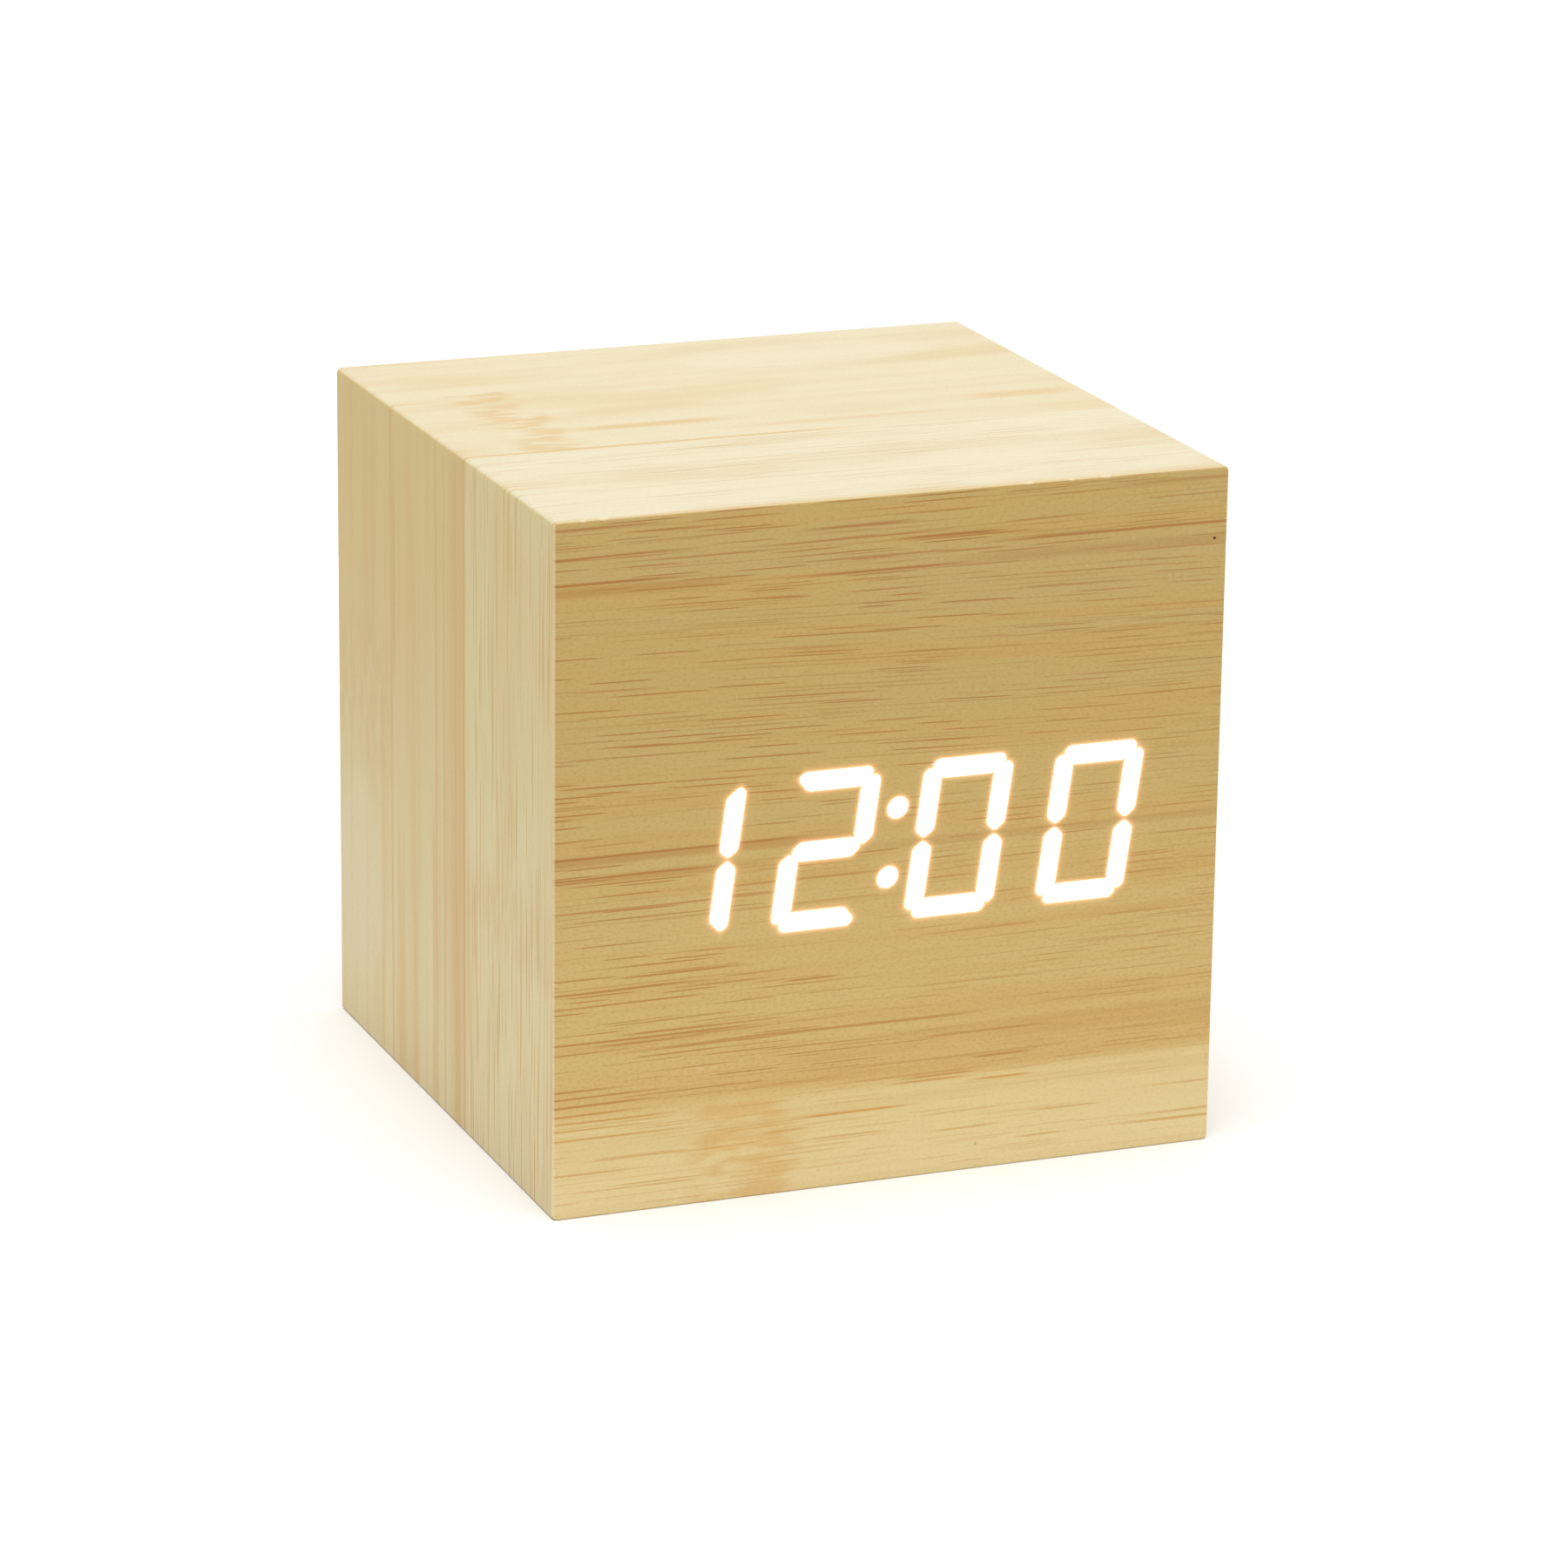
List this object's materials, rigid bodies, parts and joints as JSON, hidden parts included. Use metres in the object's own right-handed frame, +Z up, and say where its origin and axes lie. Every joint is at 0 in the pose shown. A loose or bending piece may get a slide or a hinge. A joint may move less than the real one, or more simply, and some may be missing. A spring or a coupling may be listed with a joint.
{
  "type": "digital alarm clock",
  "caption": "Cube-shaped wooden-look table clock with a lit seven-segment display behind the front film, rear push buttons and a battery bay underneath.",
  "frame": {"origin": "centre of the footprint on the surface the clock stands on", "axes": "+Z up, the display faces -Y, +X to the right when looking at the display"},
  "size_m": [0.0636, 0.0616, 0.0635],
  "materials": {
    "bamboo_print": "printed bamboo-pattern film, satin",
    "fibreboard": "plain medium-density fibreboard",
    "white_plastic": "white moulded plastic",
    "clear_resin": "milky resin, lit from behind",
    "circuit_board": "green solder mask",
    "black_plastic": "black moulded plastic, fine texture",
    "bright_steel": "plated steel",
    "spring_steel": "nickel-plated spring wire",
    "cell_sleeve": "steel can in a plain sleeve",
    "brass_plate": "stamped contact plate",
    "capacitor_sleeve": "shrink sleeve",
    "red_sleeve": "insulated wire",
    "black_sleeve": "insulated wire",
    "grey_sleeve": "flat ribbon cable"
  },
  "bodies": {
    "case": {"front_film": "bamboo_print", "rear_film": "bamboo_print", "wrap_film": "bamboo_print", "bottom_film": "bamboo_print", "front_board": "fibreboard", "rear_board": "fibreboard", "top_board": "fibreboard", "bottom_board": "fibreboard", "left_board": "fibreboard", "right_board": "fibreboard", "display_housing": "white_plastic", "main_spacer_1": "white_plastic", "main_spacer_2": "white_plastic", "segment_lens": "clear_resin", "display_board": "circuit_board", "main_board": "circuit_board", "button_board": "circuit_board", "clock_chip": "black_plastic", "buzzer": "black_plastic", "rear_panel": "black_plastic", "switch_set": "black_plastic", "switch_up": "black_plastic", "switch_down": "black_plastic", "usb_tongue": "black_plastic", "battery_tray": "black_plastic", "crystal": "bright_steel", "microphone": "bright_steel", "main_screw_1": "bright_steel", "main_screw_2": "bright_steel", "panel_screw_1": "bright_steel", "panel_screw_2": "bright_steel", "board_screw_1": "bright_steel", "board_screw_2": "bright_steel", "tray_screw_1": "bright_steel", "tray_screw_2": "bright_steel", "tray_screw_3": "bright_steel", "tray_screw_4": "bright_steel", "usb_shell": "bright_steel", "contact_spring_1": "spring_steel", "contact_spring_2": "spring_steel", "contact_spring_3": "spring_steel", "battery_cell_1": "cell_sleeve", "battery_cell_2": "cell_sleeve", "battery_cell_3": "cell_sleeve", "contact_positive": "brass_plate", "contact_negative": "brass_plate", "contact_link_1": "brass_plate", "contact_link_2": "brass_plate", "capacitor": "capacitor_sleeve", "lead_red": "red_sleeve", "lead_black": "black_sleeve", "button_cable": "grey_sleeve"},
    "button_set": {"button_set": "black_plastic", "plunger_set": "white_plastic"},
    "button_up": {"button_up": "black_plastic", "plunger_up": "white_plastic"},
    "button_down": {"button_down": "black_plastic", "plunger_down": "white_plastic"},
    "battery_door": {"battery_door": "black_plastic"}
  },
  "joints": [
    {"name": "set_press", "type": "slide", "parent": "case", "child": "button_set", "axis": [0, -1, 0], "range_m": [0, 0.0005], "stiffness_N_per_m": 300},
    {"name": "up_press", "type": "slide", "parent": "case", "child": "button_up", "axis": [0, -1, 0], "range_m": [0, 0.0005], "stiffness_N_per_m": 300},
    {"name": "down_press", "type": "slide", "parent": "case", "child": "button_down", "axis": [0, -1, 0], "range_m": [0, 0.0005], "stiffness_N_per_m": 300},
    {"name": "door_hinge", "type": "hinge", "parent": "case", "child": "battery_door", "pos_m": [0, -0.0154, 0.0013], "axis": [-1, 0, 0], "range_deg": [0, 85]}
  ]
}
